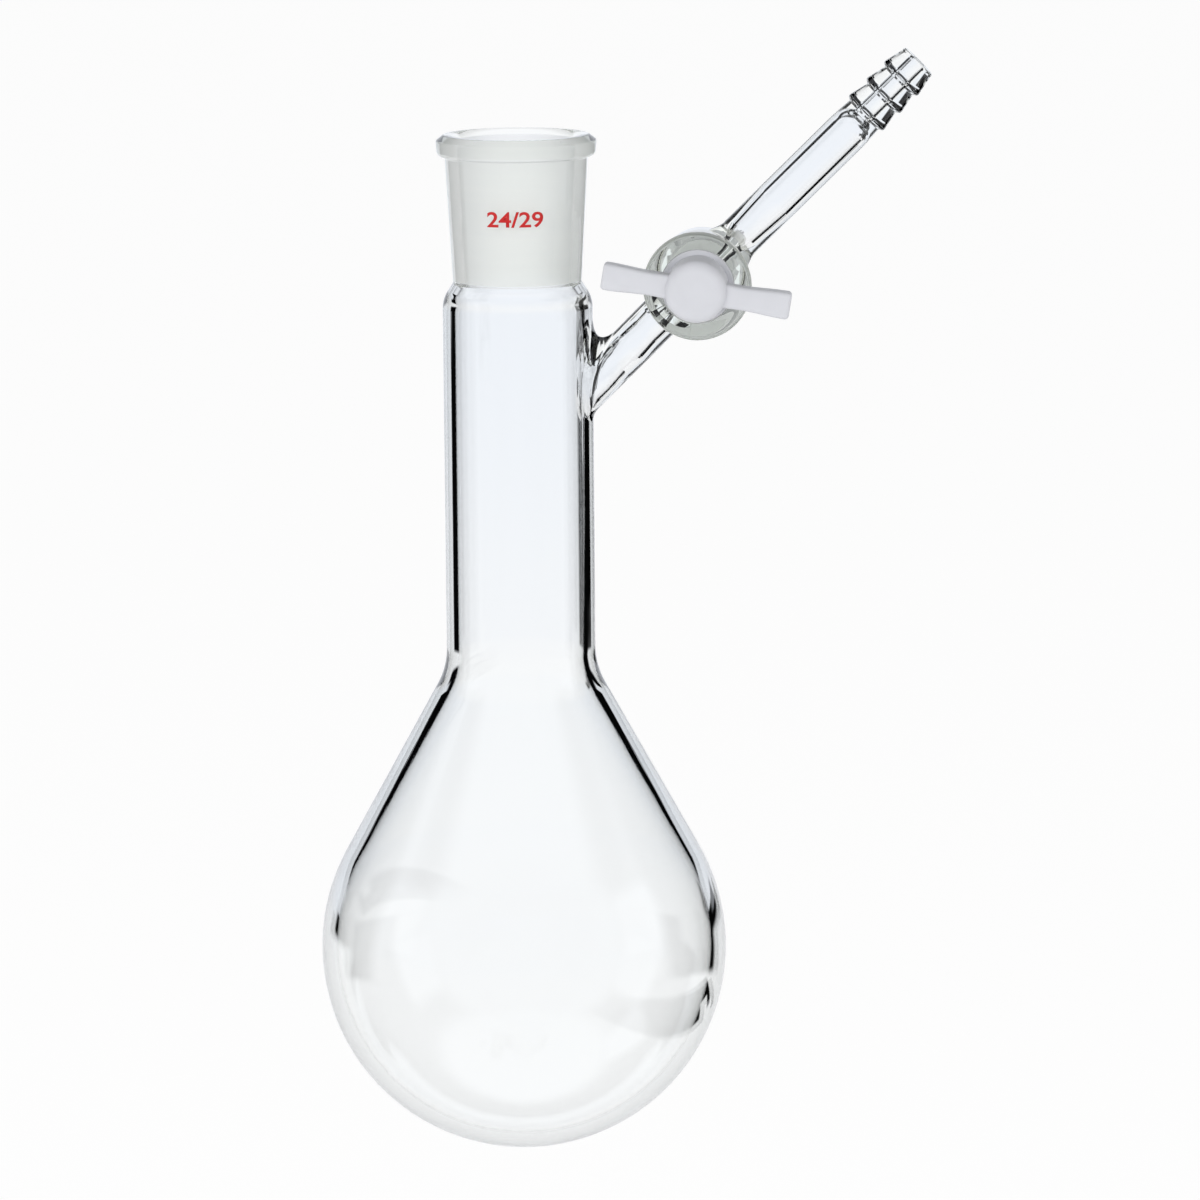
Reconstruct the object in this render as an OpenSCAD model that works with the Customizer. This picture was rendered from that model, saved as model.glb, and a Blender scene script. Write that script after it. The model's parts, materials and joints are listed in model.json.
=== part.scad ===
// Schlenk flask with a pear-shaped bulb, a ground socket and a side arm with a stopcock.
// Frame: +Z up along the flask's axis, the side arm towards +X, the stopcock's handle
// towards -Y. The origin is on the axis, where a clamp grips the neck. Millimetres.

/* [Neck] */
// Outer diameter of the neck
neck_d = 30.4; // [29:0.1:33]
// Wall of the neck
neck_wall = 2.4; // [1.4:0.1:2.8]
// Height of the rim above the place where a clamp grips the neck
clamp_drop = 80; // [72:1:90]

/* [Bulb] */
// Outer diameter of the bulb
bulb_d = 83; // [70:1:100]
// Wall of the bulb
bulb_wall = 3; // [1.6:0.1:3.4]
// Depth of the bulb's centre below the rim
bulb_drop = 167.2; // [160:0.2:190]
// Angle between the flask's axis and the cone that joins the bulb to the neck
cone_angle = 29; // [25:1:34]
// Radius of the hollow curve where the cone meets the neck
cone_fillet = 16; // [8:1:24]

/* [Ground socket] */
// Bore at the wide end of the ground zone
socket_d = 24; // [23:0.5:25]
// Length of the ground zone
socket_length = 29; // [25:1:33]
// Length over which the ground zone narrows by one
socket_taper = 10; // [8:1:14]
// Wall of the ground zone
socket_wall = 2.5; // [2:0.1:3]
// Height of the polished lip above the ground zone
lip_height = 1; // [0.6:0.1:1.6]
// Width that the polished lip opens by on each side
lip_flare = 1.5; // [0.8:0.1:1.8]
// Height of the step between the ground zone and the neck
shoulder_height = 3.4; // [3:0.1:6]
// Rounding of the step where it meets the neck
shoulder_round = 6; // [3:0.5:8]
// Diameter of the collar round the rim
collar_d = 32.6; // [32:0.1:35]
// Height of the collar
collar_height = 4.4; // [3.8:0.1:6]
// Amount by which the rim falls from its top to the collar's edge
rim_fall = 1.2; // [0.6:0.1:1.6]

/* [Stopcock barrel] */
// Distance of the barrel's axis from the flask's axis
barrel_x = 37; // [35:0.2:42]
// Depth of the barrel's axis below the rim
barrel_drop = 29.1; // [24:0.1:33]
// Outer diameter of the barrel at its front
barrel_d = 22; // [20.6:0.1:23]
// Outer diameter of the barrel at its back
barrel_back_d = 16.9; // [16:0.1:18]
// Length of the barrel in front of the arms
barrel_front = 18; // [16:0.5:20]
// Length of the barrel behind the arms
barrel_back = 16; // [14:0.5:18]
// Bore of the barrel at its front
seat_d = 15; // [14:0.1:15.6]
// Length over which the barrel's bore narrows by one
seat_taper = 5; // [5:0.5:8]
// Way through the stopcock
cock_bore_d = 2.5; // [2:0.1:3]
// Rounding of the barrel's outer edges
barrel_round = 0.9; // [0.5:0.1:1.3]

/* [Side arm] */
// Width that each arm spreads by, all round, where it is welded to the barrel
barrel_weld = 1.3; // [0.6:0.1:1.6]
// Angle of the side arm above the level
arm_angle = 45; // [42:1:48]
// Outer diameter of the side arm at the barrel
arm_d = 9; // [8.4:0.1:9.4]
// Outer diameter of the side arm at the neck
arm_root_d = 8.6; // [8.4:0.1:9.4]
// Radius of the weld that joins the side arm to the neck
arm_weld = 3.4; // [2:0.1:3.6]
// Radius of the curve inside, where the side arm's bore opens into the neck
arm_bore_weld = 2.6; // [1:0.1:2.8]
// Bore of the side arm at the barrel
arm_bore_d = 5.1; // [4:0.1:5.4]
// Bore of the side arm at the neck
arm_root_bore_d = 6.2; // [5.2:0.1:6.6]

/* [Outlet] */
// Angle of the outlet above the level
outlet_angle = 44.4; // [42:0.2:48]
// Length of the outlet from the barrel's axis to its tip
outlet_reach = 62.2; // [56:0.2:75]
// Outer diameter of the outlet's tube
outlet_d = 8.9; // [8.4:0.1:9.6]
// Bore of the outlet's tube
outlet_bore_d = 5.9; // [5.6:0.1:6.8]
// Length over which each arm's bore widens from the stopcock's way
funnel_length = 5; // [4:0.5:7]

/* [Hose barb] */
// Number of ridges
ridge_count = 3; // [2:1:4]
// Distance from one ridge to the next
ridge_pitch = 4.9; // [4.4:0.1:5.4]
// Diameter over the first ridge, nearest the barrel
ridge_d = 9.9; // [9.4:0.1:10.2]
// Amount by which each ridge's radius is smaller than the one before
ridge_step = 0.08; // [0:0.02:0.2]
// Depth of the step behind a ridge
ridge_depth = 0.8; // [0.6:0.05:0.9]
// Length over which the tube narrows before the first ridge
barb_neck = 5; // [3:0.5:7]
// Bore through the barb
barb_bore_d = 3; // [2.4:0.1:3.6]
// Straight land at the tip
tip_land = 0.8; // [0.7:0.1:2]

/* [Stopcock plug] */
// Gap all round between the plug and the barrel's bore
plug_gap = 0.05; // [0.02:0.01:0.1]
// Length of the plug's head in front of the barrel
head_length = 10.6; // [9:0.2:14]
// Diameter of the plug's round head
head_d = 12.5; // [11:0.1:13.5]
// Rounding of the head's front edge
head_round = 1.2; // [0.6:0.1:2]
// Length of the handle from end to end
handle_length = 38; // [30:1:50]
// Height of the handle's bar at its ends
handle_end = 5.3; // [4.6:0.1:6]
// Height of the handle's bar at the head
handle_root = 5.5; // [5:0.1:7]
// Height of the handle's bar at the waist of each wing
handle_waist = 4.7; // [4.2:0.1:5]
// Thickness of the handle's bar along the plug
handle_thick = 5; // [3.5:0.1:5.6]
// Distance of the handle's bar behind the head's face
handle_inset = 1.6; // [1:0.1:3]
// Tilt of the handle from the level, with the end by the outlet lower
handle_tilt = 9.5; // [-80:0.5:80]
// Diameter of the plug's threaded tail
tail_d = 6; // [5.4:0.1:6.4]
// Width across the tail's two flats
tail_flat = 5; // [4.6:0.1:5.2]
// Length of the tail behind the barrel
tail_length = 13.5; // [12.5:0.5:18]

/* [Washer, ring and nut] */
// Gap between the barrel, the washer, the ring and the nut
stack_gap = 0.05; // [0.02:0.01:0.1]
// Diameter of the washer
washer_d = 13; // [12:0.1:15]
// Thickness of the washer
washer_thick = 1; // [0.6:0.1:1.4]
// Thickness of the rubber ring's cord
ring_cord = 2.1; // [1.8:0.1:2.4]
// Diameter of the nut over its ribs
nut_d = 14; // [13:0.1:16]
// Length of the nut
nut_length = 7; // [5:0.5:8]
// Number of grooves between the nut's ribs
nut_grooves = 14; // [10:1:18]
// Diameter of each groove
groove_d = 1.8; // [1.2:0.1:2.2]

/* [Hidden] */
$fn = 96;
over = 1;                 // how far a cut runs past a face
join = 4;                 // how far one tube's glass runs into another before they are bored
edge_round = 0.5;         // rounding of small turned and moulded edges
groove_sides = 24;
rim_z = clamp_drop;
neck_r = neck_d / 2;
neck_in = neck_r - neck_wall;
bulb_r = bulb_d / 2;
bulb_in = bulb_r - bulb_wall;
bulb_z = rim_z - bulb_drop;
socket_r = socket_d / 2;
socket_end_r = socket_r - socket_length / socket_taper / 2;
collar_r = collar_d / 2;
barrel_z = rim_z - barrel_drop;
seat_r = seat_d / 2;
arm_heading = 180 + arm_angle;
arm_span = barrel_x / cos(arm_angle);   // from the barrel's axis to the flask's
step_round = 0.8;         // rounding where the ground zone's outside meets the shoulder
collar_round = 1.2;       // rounding of the collar's lower edge
rim_round = 0.6;          // fire-polished rounding of the rim
rim_land = 1.3;           // width of the rim's top
collar_spread = 0.25;     // how much wider the collar is at the rim than at its foot
bore_round = 1;           // rounding of the inner edges of the ground zone
weld_proud = 0.03;        // how far the weld's edge stands out of the arm and into the neck
weld_sides = 40;
weld_steps = 5;
barb_round = 4;           // rounding where the outlet starts to narrow towards the barb
dome_length = 0.6;        // length of the rounded end of the outlet's wide bore
dome_round = 1.5;         // rounding of that end
ridge_rise = 0.5;         // length of the step up to a ridge
ridge_land = 0.45;        // length of a ridge's top
ridge_round = 0.35;       // rounding of a ridge
ridge_foot_round = 0.1;   // rounding at the foot of a step
handle_round = 1;         // rounding of the corners of the handle's bar
waist_round = 12;         // curve of the bar's edges at the waist
barrel_mid_r = (barrel_d * barrel_back + barrel_back_d * barrel_front) / (barrel_front + barrel_back) / 2;
weld_foot = barrel_mid_r * 0.75;        // where each arm's spread foot lies in the barrel's wall
weld_top = barrel_mid_r + 1;            // where the spread foot has become the arm
barb_start = outlet_reach - tip_land - ridge_count * ridge_pitch;
seat_relief = 1;          // how far inside the barrel the plug's cone starts and ends
tail_end = barrel_back + tail_length;
washer_y = barrel_back + stack_gap;
ring_y = washer_y + washer_thick + stack_gap;
nut_y = ring_y + ring_cord + stack_gap;

function unit(v) = v / norm(v);

// The arc that rounds corner b between a and c by radius r, or the bare corner
function corner(a, b, c, r, steps) =
    r <= 0 ? [b] :
    let (u = unit(a - b),
         v = unit(c - b),
         half = acos(u * v) / 2,
         centre = b + unit(u + v) * r / sin(half),
         p = b + u * r / tan(half) - centre,
         q = b + v * r / tan(half) - centre,
         from = atan2(p.y, p.x),
         turn = (atan2(q.y, q.x) - from + 540) % 360 - 180)
    [for (i = [0 : steps]) let (t = from + turn * i / steps) centre + r * [cos(t), sin(t)]];

// A closed outline from [x, y, rounding] corners
function rounded(points, steps = 5) =
    let (count = len(points))
    [for (i = [0 : count - 1])
        let (a = points[(i + count - 1) % count], b = points[i], c = points[(i + 1) % count])
        each corner([a.x, a.y], [b.x, b.y], [c.x, c.y], b.z, steps)];

// The bulb's round part, up to where the cone leaves it
module ball(r) {
    intersection() {
        translate([0, 0, bulb_z]) sphere(r);
        translate([0, 0, bulb_z - r - over]) cylinder(r = r + over, h = r * (1 + sin(cone_angle)) + over);
    }
}

// The foot of the outline that stands on the ball
function on_ball(r) =
    let (z = bulb_z + r * sin(cone_angle)) [[0, z, 0], [r * cos(cone_angle), z, 0]];

// Height at which the cone round a sphere of radius r is as wide as the neck
function cone_top(r, at) = bulb_z + (r - at * cos(cone_angle)) / sin(cone_angle);

// The seat's radius at y, measured from the plane of the arms
function seat_at(y) = seat_r - (y + barrel_front) / seat_taper / 2;

module along(heading) {
    translate([barrel_x, 0, barrel_z]) rotate([0, 90 - heading, 0]) children();
}

module along_plug() {
    translate([barrel_x, 0, barrel_z]) rotate([-90, 0, 0]) children();
}

module flask_outside() {
    base = rim_z - lip_height - socket_length;
    ball(bulb_r);
    rotate_extrude() polygon(rounded(concat(
        on_ball(bulb_r),
        [[neck_r, cone_top(bulb_r, neck_r), cone_fillet],
         [neck_r, base - shoulder_height, shoulder_round],
         [socket_end_r + socket_wall, base, step_round],
         [socket_r + socket_wall, rim_z - collar_height, edge_round],
         [collar_r - collar_spread, rim_z - collar_height, collar_round],
         [collar_r, rim_z - rim_fall, rim_round],
         [socket_r + lip_flare + rim_land, rim_z, rim_round],
         [0, rim_z, 0]])));
}

module flask_inside() {
    base = rim_z - lip_height - socket_length;
    ball(bulb_in);
    rotate_extrude() polygon(rounded(concat(
        on_ball(bulb_in),
        [[neck_in, cone_top(bulb_in, neck_in), cone_fillet + neck_wall],
         [neck_in, base - shoulder_height, shoulder_round / 2],
         [socket_end_r, base, bore_round],
         [socket_r, rim_z - lip_height, bore_round],
         [socket_r + lip_flare, rim_z, 0],
         [socket_r + lip_flare, rim_z + over, 0],
         [0, rim_z + over, 0]])));
}

module barrel_outside() {
    along_plug() rotate_extrude() polygon(rounded([
        [0, -barrel_front, 0],
        [barrel_d / 2, -barrel_front, barrel_round],
        [barrel_back_d / 2, barrel_back, barrel_round],
        [0, barrel_back, 0]]));
}

module barrel_bore() {
    along_plug() rotate_extrude() polygon([
        [0, -barrel_front - over],
        [seat_at(-barrel_front - over), -barrel_front - over],
        [seat_at(barrel_back + over), barrel_back + over],
        [0, barrel_back + over]]);
}

// The side arm's glass, from the barrel's axis into the neck
module arm_outside() {
    along(arm_heading) rotate_extrude() polygon(rounded([
        [0, 0, 0],
        [arm_d / 2 + barrel_weld, weld_foot, 0],
        [arm_d / 2, weld_top, 2 * barrel_weld],
        [arm_root_d / 2, arm_span - neck_r, 0],
        [arm_root_d / 2, arm_span - neck_r + join, 0],
        [0, arm_span - neck_r + join, 0]]));
}

// A tube of radius r at its root, drawn out smoothly into a wall of radius around the neck:
// at each place round the tube, a curve from the tube's wall to the neck's, wide in the narrow
// angle above and short below. It is used for the glass and, smaller, for the space inside
module neck_weld(r, around, weld) {
    foot = [barrel_x, 0, barrel_z];
    a = [-cos(arm_angle), 0, -sin(arm_angle)];
    up = [-sin(arm_angle), 0, cos(arm_angle)];
    middle = barrel_z - (barrel_x - around) * tan(arm_angle);
    function wall(s, t) = foot + a * s + (r + weld_proud) * (cos(t) * up + [0, sin(t), 0]);
    function reach(t) = weld / tan((90 - arm_angle * cos(t)) / 2);
    function meets(t) =
        (barrel_x - r * sin(arm_angle) * cos(t) - sqrt(around * around - pow(r * sin(t), 2)))
        / cos(arm_angle);
    function on_neck(width, z, depth) =
        let (w = width / around * 180 / PI) [(around - depth) * cos(w), (around - depth) * sin(w), z];
    function spread(t, depth) =
        let (p = wall(meets(t), t),
             width = asin(p.y / around) * around * PI / 180,
             away = unit([width, p.z - middle]) * reach(t))
        on_neck(width + away.x, p.z + away.y, depth);
    function curve(t, k) =
        pow(1 - k, 2) * wall(meets(t) - reach(t), t) + 2 * k * (1 - k) * wall(meets(t), t)
        + k * k * spread(t, weld_proud);
    rings = concat(
        [for (j = [0 : weld_steps]) [for (i = [0 : weld_sides - 1])
            curve(i * 360 / weld_sides, j / weld_steps)]],
        [[for (i = [0 : weld_sides - 1]) spread(i * 360 / weld_sides, neck_wall / 2)]]);
    last = len(rings) - 1;
    points = concat([for (ring = rings) each ring],
        [foot + a * (arm_span - 2 * around), foot + a * (arm_span - around + neck_wall)]);
    top = len(points) - 2;
    polyhedron(points, concat(
        [for (j = [0 : last - 1], i = [0 : weld_sides - 1])
            let (n = (i + 1) % weld_sides, b = j * weld_sides, c = b + weld_sides)
            each [[b + i, b + n, c + n], [b + i, c + n, c + i]]],
        [for (i = [0 : weld_sides - 1]) let (n = (i + 1) % weld_sides)
            each [[top, n, i], [top + 1, last * weld_sides + i, last * weld_sides + n]]]));
}

module arm_bore() {
    along(arm_heading) rotate_extrude() polygon([
        [0, 0],
        [cock_bore_d / 2, 0],
        [cock_bore_d / 2, seat_r],
        [arm_bore_d / 2, seat_r + funnel_length],
        [arm_root_bore_d / 2, arm_span - neck_r],
        [arm_root_bore_d / 2, arm_span - neck_r + join + over],
        [0, arm_span - neck_r + join + over]]);
}

function ridge_top(i) = ridge_d / 2 - i * ridge_step;

// One ridge of the barb: a step up on the barrel's side, then a cone down to the next
function ridge(i) =
    let (s = barb_start + i * ridge_pitch)
    [[ridge_top(i), s + ridge_rise, ridge_round],
     [ridge_top(i), s + ridge_rise + ridge_land, ridge_round],
     [ridge_top(i + 1) - ridge_depth, s + ridge_pitch, ridge_foot_round]];

module outlet_outside() {
    tip_r = ridge_top(ridge_count) - ridge_depth;
    along(outlet_angle) rotate_extrude() polygon(rounded(concat(
        [[0, 0, 0],
         [outlet_d / 2 + barrel_weld, weld_foot, 0],
         [outlet_d / 2, weld_top, 2 * barrel_weld],
         [outlet_d / 2, barb_start - barb_neck, barb_round],
         [ridge_top(0) - ridge_depth, barb_start, ridge_foot_round]],
        [for (i = [0 : ridge_count - 1]) each ridge(i)],
        [[tip_r, outlet_reach, edge_round],
         [0, outlet_reach, 0]])));
}

module outlet_bore() {
    along(outlet_angle) rotate_extrude() polygon(rounded([
        [0, 0, 0],
        [cock_bore_d / 2, 0, 0],
        [cock_bore_d / 2, seat_r, 0],
        [outlet_bore_d / 2, seat_r + funnel_length, dome_round],
        [outlet_bore_d / 2, barb_start - 2 * dome_length, dome_round],
        [barb_bore_d / 2, barb_start - dome_length, edge_round],
        [barb_bore_d / 2, outlet_reach + over, 0],
        [0, outlet_reach + over, 0]]));
}

module glass_flask() {
    color("LightCyan", 0.4) difference() {
        union() {
            flask_outside();
            barrel_outside();
            arm_outside();
            neck_weld(arm_root_d / 2, neck_r, arm_weld);
            outlet_outside();
        }
        flask_inside();
        barrel_bore();
        arm_bore();
        neck_weld(arm_root_bore_d / 2, neck_in, arm_bore_weld);
        outlet_bore();
    }
}

// One edge of the handle's bar, on the side that way points to, from end to end
function handle_edge(way) =
    let (half = handle_length / 2)
    [[-half, handle_end / 2, handle_round],
     [-half * 0.55, handle_waist / 2, waist_round],
     [0, handle_root / 2, 0],
     [half * 0.55, handle_waist / 2, waist_round],
     [half, handle_end / 2, handle_round]]
    * [[way, 0, 0], [0, way, 0], [0, 0, 1]];

module handle_outline() {
    polygon(rounded(concat(handle_edge(-1), handle_edge(1))));
}

module stopcock_plug() {
    front = -barrel_front - head_length;
    big_end = -barrel_front + seat_relief;
    small_end = barrel_back - seat_relief;
    color("White") along_plug() difference() {
        union() {
            rotate_extrude() polygon(rounded([
                [0, front, 0],
                [head_d / 2, front, head_round],
                [head_d / 2, big_end, 0],
                [seat_at(big_end) - plug_gap, big_end, edge_round / 2],
                [seat_at(small_end) - plug_gap, small_end, edge_round],
                [0, small_end, 0]]));
            translate([0, 0, front + handle_inset]) rotate([0, 0, handle_tilt])
                linear_extrude(handle_thick) handle_outline();
            intersection() {
                cylinder(d = tail_d, h = tail_end);
                translate([-tail_d, -tail_flat / 2, 0]) cube([2 * tail_d, tail_flat, tail_end + over]);
            }
        }
        rotate([0, 0, handle_tilt]) rotate([0, 90, 0])
            cylinder(d = cock_bore_d, h = seat_d + 2 * over, center = true);
    }
}

module plug_washer() {
    color("WhiteSmoke") along_plug() translate([0, 0, washer_y]) difference() {
        cylinder(d = washer_d, h = washer_thick);
        translate([0, 0, -over]) intersection() {
            cylinder(d = tail_d + 2 * plug_gap, h = washer_thick + 2 * over);
            translate([-tail_d, -tail_flat / 2 - plug_gap, 0])
                cube([2 * tail_d, tail_flat + 2 * plug_gap, washer_thick + 2 * over]);
        }
    }
}

module plug_o_ring() {
    color("DimGray") along_plug() translate([0, 0, ring_y + ring_cord / 2])
        rotate_extrude() translate([tail_d / 2 + plug_gap + ring_cord / 2, 0]) circle(d = ring_cord);
}

module plug_nut() {
    color("White") along_plug() translate([0, 0, nut_y]) difference() {
        rotate_extrude() polygon(rounded([
            [tail_d / 2 + plug_gap, 0, 0],
            [nut_d / 2, 0, edge_round],
            [nut_d / 2, nut_length, edge_round],
            [tail_d / 2 + plug_gap, nut_length, 0]]));
        for (i = [0 : nut_grooves - 1]) rotate([0, 0, i * 360 / nut_grooves])
            translate([nut_d / 2 + groove_d / 6, 0, -over])
                cylinder(d = groove_d, h = nut_length + 2 * over, $fn = groove_sides);
    }
}

glass_flask();
stopcock_plug();
plug_washer();
plug_o_ring();
plug_nut();
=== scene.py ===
"""Schlenk flask: clear blown glass, a white key in its stopcock and red numbers on its socket.

Laid out as an add-on: one operator for each piece or group of pieces and one for the stage.
"""

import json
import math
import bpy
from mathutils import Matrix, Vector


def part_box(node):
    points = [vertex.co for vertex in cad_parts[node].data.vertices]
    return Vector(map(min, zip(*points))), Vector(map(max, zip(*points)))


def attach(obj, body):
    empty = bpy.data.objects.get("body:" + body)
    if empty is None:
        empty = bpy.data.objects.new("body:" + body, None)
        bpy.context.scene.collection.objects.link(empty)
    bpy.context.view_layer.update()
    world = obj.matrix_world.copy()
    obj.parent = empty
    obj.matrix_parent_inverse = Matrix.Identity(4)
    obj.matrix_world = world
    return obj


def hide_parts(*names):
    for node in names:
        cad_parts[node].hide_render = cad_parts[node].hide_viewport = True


bl_info = {
    "name": "Schlenk Flask",
    "version": (1, 0, 0),
    "blender": (4, 5, 0),
    "location": "View3D > Sidebar > Flask",
    "description": "Dresses a Schlenk flask with glass, a plastic key, printed numbers and a studio",
    "category": "Add Mesh",
}

import bpy
from mathutils import Matrix, Vector

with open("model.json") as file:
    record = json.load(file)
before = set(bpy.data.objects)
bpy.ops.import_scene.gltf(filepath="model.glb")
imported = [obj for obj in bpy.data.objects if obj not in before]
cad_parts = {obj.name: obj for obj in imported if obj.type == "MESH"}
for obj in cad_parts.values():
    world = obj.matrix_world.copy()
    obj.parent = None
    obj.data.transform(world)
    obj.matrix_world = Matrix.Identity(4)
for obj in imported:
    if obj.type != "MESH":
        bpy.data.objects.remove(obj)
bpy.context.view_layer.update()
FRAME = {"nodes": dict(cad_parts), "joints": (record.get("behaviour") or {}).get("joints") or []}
GLASS_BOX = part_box("glass_flask")
TURN = next(j for j in FRAME["joints"] if j["name"] == "plug_turn")
MM = 0.001

# Sizes are in millimetres: heights from the plane that the frame measures from, and radii.
# Bulb, neck, ground socket and collar
RIM = 80.0
NECK, NECK_WALL = 15.2, 2.4
BULB, BULB_WALL, BULB_Z, CONE = 41.5, 3.0, -87.2, 29.0
SOCKET, SOCKET_END, SOCKET_LENGTH, SOCKET_WALL, LIP, FLARE = 12.0, 10.55, 29.0, 2.5, 1.0, 1.5
GROUND_END = RIM - LIP - SOCKET_LENGTH
COLLAR, COLLAR_HEIGHT, COLLAR_SPREAD, RIM_FALL, RIM_LAND = 16.3, 4.4, 0.25, 1.2, 1.3
STEP, STEP_ROUND, CONE_FILLET = 3.4, 6.0, 16.0

# Stopcock barrel, side arm and outlet; the axes of the arms meet on the key's axis
BARREL, BARREL_BACK, FRONT, BACK = 11.0, 8.45, 18.0, 16.0
SEAT, SEAT_TAPER = 7.5, 10.0
ARM, ARM_ROOT, ARM_BORE, ARM_ROOT_BORE, ARM_WELD, BORE_WELD = 4.5, 4.3, 2.55, 3.1, 3.4, 2.6
OUTLET, OUTLET_BORE, OUTLET_ANGLE, REACH, COCK_BORE, FUNNEL = 4.45, 2.95, 44.4, 62.2, 1.25, 5.0
RIDGES, RIDGE_PITCH, RIDGE, RIDGE_STEP, RIDGE_DEPTH, TIP = 3, 4.9, 4.95, 0.08, 0.8, 0.8
RIDGE_RISE, RIDGE_LAND, RIDGE_ROUND, FOOT_ROUND = 0.5, 0.45, 0.35, 0.1
BARB_BORE, BARB_NECK, BARB_ROUND = 1.5, 5, 4
BARB = REACH - TIP - RIDGES * RIDGE_PITCH
# Where each arm's spread foot lies in the barrel's wall, where it has become the arm, and how far it spreads
MIDDLE = (BARREL * BACK + BARREL_BACK * FRONT) / (FRONT + BACK)
WELD_FOOT, WELD_TOP, WELD_SPREAD = MIDDLE * 0.75, MIDDLE + 1, 1.3
# Flame work leaves the arm's wall uneven: places along the bore, and how much wider it is there
UNEVEN = ((3, -0.1), (7.5, 0.15), (12, 0.0), (16.5, 0.3))

# Key: its head, its handle's waisted bar and its threaded tail with two flats
HEAD, HEAD_LENGTH, HEAD_ROUND, KEY_GAP = 6.25, 10.6, 2.2, 0.05
HANDLE, HANDLE_THICK, HANDLE_ROOT, HANDLE_INSET, HANDLE_TILT = 38.0, 5.0, 5.4, 1.6, 9.5
HANDLE_CUTS, HANDLE_WAIST, HANDLE_BEVEL = 23, 0.14, 0.8
TAIL, TAIL_FLAT, TAIL_LENGTH = 3.0, 5.0, 13.5
THREAD_START, THREAD_TURNS, THREAD_DEPTH = 4, 9, 0.45

# Printed numbers: width, height on the flask and turn round it in degrees, and the ink's height
PRINT_WIDTH, PRINT_Z, PRINT_TURN, PRINT_COLUMNS = 11.6, 64.0, 1.6, 24
INK_FOOT, INK = 0.01, 0.03

# Faces round the flask, the barrel and the arms; cutters run past what they cut by OVER
ROUND, BARREL_ROUND, ARM_ROUND, OVER = 192, 128, 96, 1
BALL_STEPS = 70
# A weld stands a little proud of the wall that it covers; points nearer than this, in metres, are one
PROUD = 0.03
MERGE = 2e-6

AXLE = Vector(TURN["pos_m"]) / MM
SPAN = AXLE.x * math.sqrt(2)
ORIGIN, RIGHT, FORWARD, UP = (0, 0, 0), (1, 0, 0), (0, 1, 0), (0, 0, 1)

# Studio: the camera's aim, distance and lens, in metres, degrees and millimetres
AIM, DISTANCE, ROLL, LENS, SENSOR = Vector((0.0162, 0, -0.0154)), 1.5, -0.49, 220.5, 36
# The white wall behind: its sides and top in degrees as the flask sees them, and its tone
WALL_LEFT, WALL_RIGHT, WALL_TOP, WALL_TONE = -42, 35, 23, "#EFF3FA"
# What the dark and the white parts of the studio send through the glass
DARKEST, LIGHTEST = 0.002, 1.04
SMOOTH = {"interpolation_type": "SMOOTHSTEP"}


def colour(text):
    """A linear colour from an sRGB hex value."""
    parts = [int(text[i : i + 2], 16) / 255 for i in (1, 3, 5)]
    return tuple(v / 12.92 if v <= 0.04045 else ((v + 0.055) / 1.055) ** 2.4 for v in parts) + (1.0,)


def scaled(tone, share):
    """A colour made darker or lighter by a share."""
    return tuple(min(1.0, v * share) for v in tone[:3]) + (1.0,)


def node(tree, kind, place, settings=None, **links):
    """Adds a node at place and sets its properties; each link is a value or another node's socket."""
    made = tree.nodes.new(kind)
    made.location = place
    for name, value in (settings or {}).items():
        setattr(made, name, value)
    for name, value in links.items():
        socket = made.inputs[int(name[1:])] if name[1:].isdigit() else made.inputs[name.replace("_", " ")]
        if isinstance(value, bpy.types.NodeSocket):
            tree.links.new(value, socket)
        else:
            socket.default_value = value
    return made


def new_material(name):
    """An empty node material and its tree."""
    made = bpy.data.materials.new(name)
    made.use_nodes = True
    made.node_tree.nodes.clear()
    return made, made.node_tree


def lets_light_by(tree, glass, tint):
    """Glass as it is seen, which shadows and soft light pass straight through, dimmed by tint."""
    path = node(tree, "ShaderNodeLightPath", (-600, 300))
    clear = node(tree, "ShaderNodeBsdfTransparent", (-300, 200), Color=colour(tint))
    unseen = node(tree, "ShaderNodeMath", (-400, 350), {"operation": "MAXIMUM"},
                  i0=path.outputs["Is Shadow Ray"], i1=path.outputs["Is Diffuse Ray"])
    mix = node(tree, "ShaderNodeMixShader", (0, 100), i0=unseen.outputs[0], i1=glass.outputs[0], i2=clear.outputs[0])
    return mix.outputs[0]


def clear_glass(tint):
    """Blown and fire-polished borosilicate: clear, with faint waves, and dark rims where it bends light away."""
    made, tree = new_material("blown_borosilicate")
    # thick glass, as at the welds, goes faintly green
    depth = node(tree, "ShaderNodeVolumeAbsorption", (-50, -200), Color=colour("#E4F0D2"), Density=10.0)
    spot = node(tree, "ShaderNodeTexCoord", (-1100, -200))
    # waves left by the flame are some 15 mm apart and hundredths of a millimetre deep
    waves = node(tree, "ShaderNodeTexNoise", (-900, -200), Vector=spot.outputs["Object"], Scale=65.0, Detail=1.0)
    bent = node(tree, "ShaderNodeBump", (-650, -200), Strength=0.12, Distance=0.0002, Height=waves.outputs["Fac"])
    glass = node(tree, "ShaderNodeBsdfGlass", (-300, 0), Color=tint, Roughness=0.0, IOR=1.473,
                 Normal=bent.outputs["Normal"])
    node(tree, "ShaderNodeOutputMaterial", (200, 100), Surface=lets_light_by(tree, glass, "#FAFAFA"),
         Volume=depth.outputs[0])
    return made


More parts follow.
